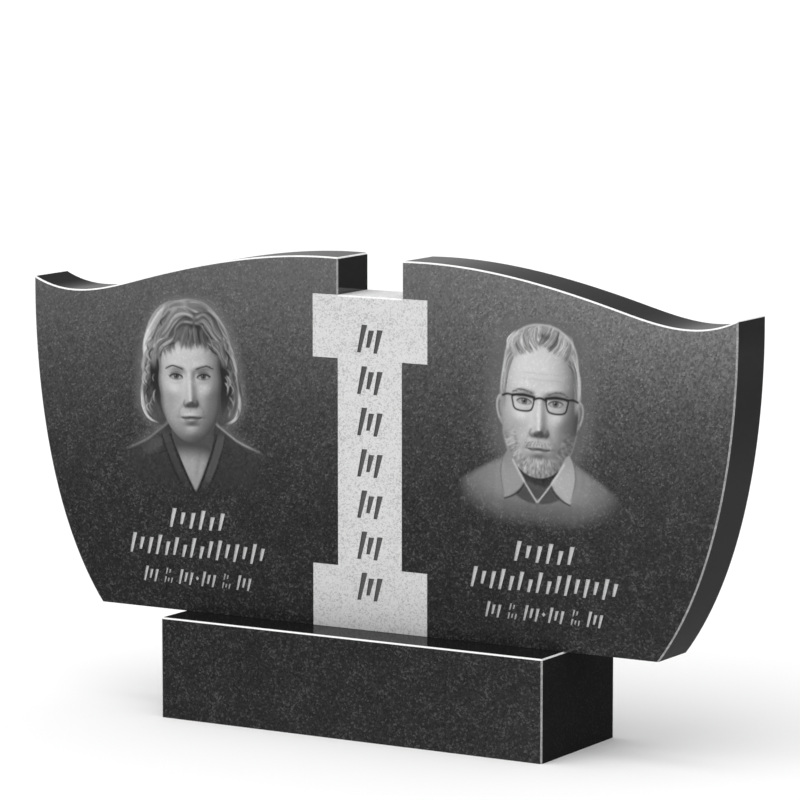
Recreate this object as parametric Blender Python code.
"""A double headstone: two polished dark granite steles, locked by a light granite key, on one plinth.

Metres, +Z up. X runs across the front, the front looks along -Y, and the ground is at z = 0. The two
steles are mirror images about x = 0.
"""

import bmesh
import bpy
from mathutils import Matrix, Vector
from mathutils.geometry import interpolate_bezier

# Plinth
plinth_width = 0.600
plinth_depth = 0.200
plinth_height = 0.140

# Steles, with heights measured up from the plinth
stele_thickness = 0.080
foot_half_width = 0.4402
tip_half_width = 0.551
tip_height = 0.455
crest_height = 0.5056

# The top edge leaves the crest nearly level, falls to its steepest point, then swings up to the tip
crest_slope = 0.034
fall_half_width = 0.368
fall_height = 0.4608
fall_slope = -0.269
tip_slope = 0.490

# The outer edge is upright below the tip and curves in to the foot; a reach is how far down or up a bend acts
tip_lean = 0.012
tip_reach = 0.154
foot_lean = 0.747
foot_reach = 0.117

# Light granite key, an upright I seen from the front, as thick as the steles
key_height = 0.4551
key_stem_width = 0.1006
key_flange_width = 0.180
key_head_height = 0.086
key_foot_height = 0.086

# Joints and edges
joint_gap = 0.0003
chamfer = 0.002
curve_steps = 14

# Cut marks that stand for the inscription, with heights measured up from the plinth
cut_depth = 0.0012
mark_lean = 0.24
mark_taper = 0.65
left_inscription_x = -0.2797
right_inscription_x = 0.2689
first_row = {"foot": 0.116, "height": 0.027, "pitch": 0.0160, "count": 6, "width": 0.0068}
second_row = {"foot": 0.0755, "height": 0.028, "pitch": 0.0142, "count": 16, "width": 0.0062}
date_row = {"foot": 0.037, "height": 0.021, "pitch": 0.0084, "count": 3, "width": 0.0046}
date_offset = 0.0478
pair_offset = 0.0290
small_row_height = 0.0088
small_row_pitch = 0.0052
small_row_width = 0.0026
dot_size = 0.0060
key_row = {"foot": 0.0411, "height": 0.038, "pitch": 0.0125, "count": 3, "width": 0.0086}
key_row_count = 7
key_row_rise = 0.0563

# How tall the marks of a row are, one after the other, as shares of the row's height
mark_heights = (1.0, 0.62, 0.84, 1.0, 0.7, 0.9, 0.62)


def clear_scene():
    for obj in list(bpy.data.objects):
        bpy.data.objects.remove(obj, do_unlink=True)


def stone(name, grey, roughness):
    material = bpy.data.materials.new(name)
    material.use_nodes = True
    shader = material.node_tree.nodes["Principled BSDF"]
    shader.inputs["Base Color"].default_value = (grey, grey, grey, 1.0)
    shader.inputs["Roughness"].default_value = roughness
    shader.inputs["Metallic"].default_value = 0.0
    return material


def add_object(name, shape, material):
    """Makes an object of a finished bmesh, and frees the bmesh."""
    bmesh.ops.recalc_face_normals(shape, faces=shape.faces)
    mesh = bpy.data.meshes.new(name)
    shape.to_mesh(mesh)
    shape.free()
    mesh.materials.append(material)
    obj = bpy.data.objects.new(name, mesh)
    bpy.context.scene.collection.objects.link(obj)
    return obj


def cut(target, name, shape):
    """Cuts a bmesh out of the target. The cutter stays in the file as wires, which no render shows."""
    cutter = add_object(name, shape, target.data.materials[0])
    cutter.hide_render = True
    cutter.display_type = "WIRE"
    modifier = target.modifiers.new(name, "BOOLEAN")
    modifier.operation = "DIFFERENCE"
    modifier.solver = "EXACT"
    modifier.object = cutter


def add_prism(shape, corners, push):
    """Adds a block to a bmesh: a flat face on the corners, pushed along a vector."""
    face = shape.faces.new([shape.verts.new(corner) for corner in corners])
    grown = bmesh.ops.extrude_face_region(shape, geom=[face])
    moved = [item for item in grown["geom"] if isinstance(item, bmesh.types.BMVert)]
    bmesh.ops.translate(shape, verts=moved, vec=push)


def slab(outline):
    """A bmesh of an outline in the XZ plane, as thick as the steles."""
    shape = bmesh.new()
    corners = [(x, -stele_thickness / 2, z) for x, z in outline]
    add_prism(shape, corners, (0.0, stele_thickness, 0.0))
    return shape


def chamfer_edges(shape, wanted):
    """Chamfers the edges whose middle point is wanted."""
    edges = [edge for edge in shape.edges if wanted((edge.verts[0].co + edge.verts[1].co) / 2)]
    bmesh.ops.bevel(shape, geom=edges, offset=chamfer, offset_type="OFFSET", affect="EDGES",
                    segments=1, profile=0.5, material=-1)


def curve(start, start_handle, end_handle, end):
    """Points of one cubic curve in the XZ plane, up to but without its end."""
    knots = [Vector((x, z, 0.0)) for x, z in (start, start_handle, end_handle, end)]
    return [(point.x, point.y) for point in interpolate_bezier(*knots, curve_steps + 1)[:-1]]


def top_edge(crest_x):
    """The wave along a stele's top, from the crest at its inner corner out to the tip."""
    inner = (fall_half_width - crest_x) / 3
    outer = (tip_half_width - fall_half_width) / 3
    to_fall = curve((crest_x, crest_height),
                    (crest_x + inner, crest_height + crest_slope * inner),
                    (fall_half_width - inner, fall_height - fall_slope * inner),
                    (fall_half_width, fall_height))
    to_tip = curve((fall_half_width, fall_height),
                   (fall_half_width + outer, fall_height + fall_slope * outer),
                   (tip_half_width - outer, tip_height - tip_slope * outer),
                   (tip_half_width, tip_height))
    return to_fall + to_tip


def outer_edge():
    """The bowed outer edge of a stele, from the tip down to the foot."""
    return curve((tip_half_width, tip_height),
                 (tip_half_width + tip_lean * tip_reach, tip_height - tip_reach),
                 (foot_half_width + foot_lean * foot_reach, foot_reach),
                 (foot_half_width, 0.0))


def add_mark(shape, x, foot, height, width):
    """Adds one leaning bar to a cutter, wide at its top and narrow at its foot."""
    lean = mark_lean * height / 2
    half_top = width / 2
    half_foot = half_top * mark_taper
    add_cut(shape, [(x - lean - half_foot, foot), (x - lean + half_foot, foot),
                    (x + lean + half_top, foot + height), (x + lean - half_top, foot + height)])


def add_cut(shape, outline):
    """Adds a straight-sided cut into the front faces, from just in front of them to its floor."""
    y_start = -stele_thickness / 2 - cut_depth
    add_prism(shape, [(x, y_start, z) for x, z in outline], (0.0, 2 * cut_depth, 0.0))


def add_row(shape, x, foot, height, pitch, count, width):
    """A row of leaning bars about x. Every second one floats at mid-height, and the rest stand on its foot."""
    for i in range(count):
        tall = height * mark_heights[i % len(mark_heights)]
        rise = (height - tall) / 2 if i % 2 else 0.0
        add_mark(shape, x + (i - (count - 1) / 2) * pitch, foot + rise, tall, width)


def raised(row):
    """A row's sizes, with its foot measured from the ground."""
    return {**row, "foot": row["foot"] + plinth_height}


def inscription(x):
    """The cutter for one stele: a short row, a long row and a row laid out as two dates with a dot between."""
    shape = bmesh.new()
    add_row(shape, x, **raised(first_row))
    add_row(shape, x, **raised(second_row))
    dates = raised(date_row)
    for date_x in (x - date_offset, x + date_offset):
        add_row(shape, date_x - pair_offset, **dates)
        add_row(shape, date_x + pair_offset, **dates)
        upper_foot = dates["foot"] + dates["height"] - small_row_height
        add_row(shape, date_x, dates["foot"], small_row_height, small_row_pitch, 3, small_row_width)
        add_row(shape, date_x, upper_foot, small_row_height, small_row_pitch, 2, small_row_width)
    middle = dates["foot"] + dates["height"] / 2
    half = dot_size / 2
    add_cut(shape, [(x, middle - half), (x + half, middle), (x, middle + half), (x - half, middle)])
    return shape


def make_plinth(material):
    shape = bmesh.new()
    size = Matrix.Diagonal((plinth_width, plinth_depth, plinth_height, 1.0))
    bmesh.ops.create_cube(shape, size=1.0, matrix=size)
    bmesh.ops.translate(shape, verts=shape.verts, vec=(0.0, 0.0, plinth_height / 2))
    chamfer_edges(shape, lambda middle: middle.z > plinth_height / 4)
    return add_object("plinth", shape, material)


def make_stele(name, side, inscription_x, material):
    """side is 1 for the stele at +X and -1 for its mirror image."""
    base = plinth_height + joint_gap
    stem_x = key_stem_width / 2 + joint_gap
    notch_x = key_flange_width / 2 + joint_gap
    foot_top = plinth_height + key_foot_height + joint_gap
    head_base = plinth_height + key_height - key_head_height - joint_gap
    head_top = plinth_height + key_height + joint_gap
    against_key = [(notch_x, base), (notch_x, foot_top), (stem_x, foot_top), (stem_x, head_base),
                   (notch_x, head_base), (notch_x, head_top), (stem_x, head_top)]
    open_edge = [(x, max(z + plinth_height, base)) for x, z in top_edge(stem_x) + outer_edge()]
    shape = slab(against_key + open_edge + [(foot_half_width, base)])

    crest = Vector((stem_x, 0.0, plinth_height + crest_height))
    tip = Vector((tip_half_width, 0.0, plinth_height + tip_height))

    def is_open(middle):
        """True at the crest and the tip, and along both faces except at the foot and against the key."""
        on_face = abs(middle.y) > stele_thickness / 4
        clear_of_key = middle.x > notch_x + joint_gap or middle.z > head_top + joint_gap
        at_corner = min((middle - crest).length, (middle - tip).length) < joint_gap
        return at_corner or (on_face and clear_of_key and middle.z > base + joint_gap)

    chamfer_edges(shape, is_open)
    bmesh.ops.scale(shape, verts=shape.verts, vec=(side, 1.0, 1.0))
    stele = add_object(name, shape, material)
    cut(stele, name + "_marks", inscription(inscription_x))
    return stele


def make_key(material):
    """The I-shaped key. Its top edges are chamfered only where they lie open between the steles."""
    base = plinth_height + joint_gap
    top = plinth_height + key_height
    stem = key_stem_width / 2
    flange = key_flange_width / 2
    foot_top = plinth_height + key_foot_height
    head_base = top - key_head_height
    right = [(flange, base), (flange, foot_top), (stem, foot_top),
             (stem, head_base), (flange, head_base), (flange, top)]
    key = add_object("centre_insert", slab(right + [(-x, z) for x, z in reversed(right)]), material)

    wedges = bmesh.new()
    for side in (-1, 1):
        face_y = side * stele_thickness / 2
        corners = [(-stem, face_y - side * 2 * chamfer, top + chamfer),
                   (-stem, face_y + side * chamfer, top - 2 * chamfer),
                   (-stem, face_y + side * chamfer, top + chamfer)]
        add_prism(wedges, corners, (key_stem_width, 0.0, 0.0))
    cut(key, "centre_insert_chamfer", wedges)

    marks = bmesh.new()
    for i in range(key_row_count):
        row = raised(key_row)
        row["foot"] += i * key_row_rise
        add_row(marks, 0.0, **row)
    cut(key, "centre_insert_marks", marks)
    return key


clear_scene()
dark_granite = stone("dark granite", 0.06, 0.12)
light_granite = stone("light granite", 0.62, 0.45)
make_plinth(dark_granite)
make_stele("left_stele", -1, left_inscription_x, dark_granite)
make_stele("right_stele", 1, right_inscription_x, dark_granite)
make_key(light_granite)
